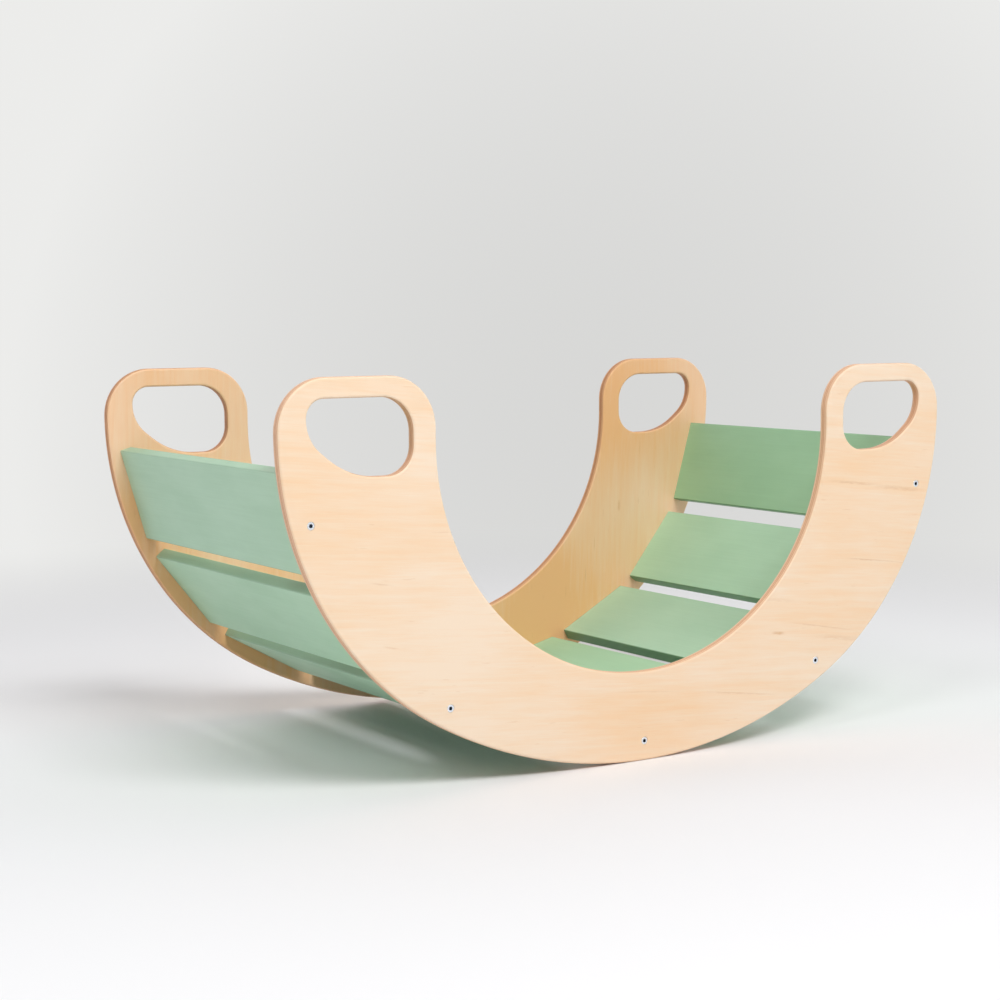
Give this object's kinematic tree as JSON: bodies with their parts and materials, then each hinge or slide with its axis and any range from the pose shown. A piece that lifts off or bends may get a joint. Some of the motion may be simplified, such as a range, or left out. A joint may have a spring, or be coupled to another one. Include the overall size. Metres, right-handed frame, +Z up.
{
  "type": "kids rocker seesaw",
  "caption": "Wooden children's rocker: two U-shaped plywood panels with handle holes, joined by a curved row of green slats. It rocks on its curved edges, or stands as an arch.",
  "frame": {"origin": "on the floor under the middle of the rocker, at the bottom centre of its bounding box", "axes": "+X runs along the rocker's length, the way it rocks; +Y points from the front panel to the back panel; +Z up"},
  "size_m": [0.9, 0.464, 0.439],
  "materials": {
    "birch_plywood": "clear satin oil or varnish over a pale birch face, darker layered edges",
    "green_paint": "sage green satin paint over smooth wood",
    "zinc_plated_steel": "bright bluish zinc plating",
    "beech": "bare turned beech"
  },
  "bodies": {
    "root": {"front_side_panel": "birch_plywood", "back_side_panel": "birch_plywood", "slat_1": "green_paint", "slat_2": "green_paint", "slat_3": "green_paint", "slat_4": "green_paint", "slat_5": "green_paint", "slat_6": "green_paint", "slat_7": "green_paint", "slat_8": "green_paint", "slat_9": "green_paint", "front_screw_1": "zinc_plated_steel", "front_screw_3": "zinc_plated_steel", "front_screw_5": "zinc_plated_steel", "front_screw_7": "zinc_plated_steel", "front_screw_9": "zinc_plated_steel", "back_screw_1": "zinc_plated_steel", "back_screw_3": "zinc_plated_steel", "back_screw_5": "zinc_plated_steel", "back_screw_7": "zinc_plated_steel", "back_screw_9": "zinc_plated_steel", "front_dowel_1a": "beech", "front_dowel_1b": "beech", "front_dowel_2a": "beech", "front_dowel_2b": "beech", "front_dowel_3a": "beech", "front_dowel_3b": "beech", "front_dowel_4a": "beech", "front_dowel_4b": "beech", "front_dowel_5a": "beech", "front_dowel_5b": "beech", "front_dowel_6a": "beech", "front_dowel_6b": "beech", "front_dowel_7a": "beech", "front_dowel_7b": "beech", "front_dowel_8a": "beech", "front_dowel_8b": "beech", "front_dowel_9a": "beech", "front_dowel_9b": "beech", "back_dowel_1a": "beech", "back_dowel_1b": "beech", "back_dowel_2a": "beech", "back_dowel_2b": "beech", "back_dowel_3a": "beech", "back_dowel_3b": "beech", "back_dowel_4a": "beech", "back_dowel_4b": "beech", "back_dowel_5a": "beech", "back_dowel_5b": "beech", "back_dowel_6a": "beech", "back_dowel_6b": "beech", "back_dowel_7a": "beech", "back_dowel_7b": "beech", "back_dowel_8a": "beech", "back_dowel_8b": "beech", "back_dowel_9a": "beech", "back_dowel_9b": "beech"}
  },
  "joints": []
}
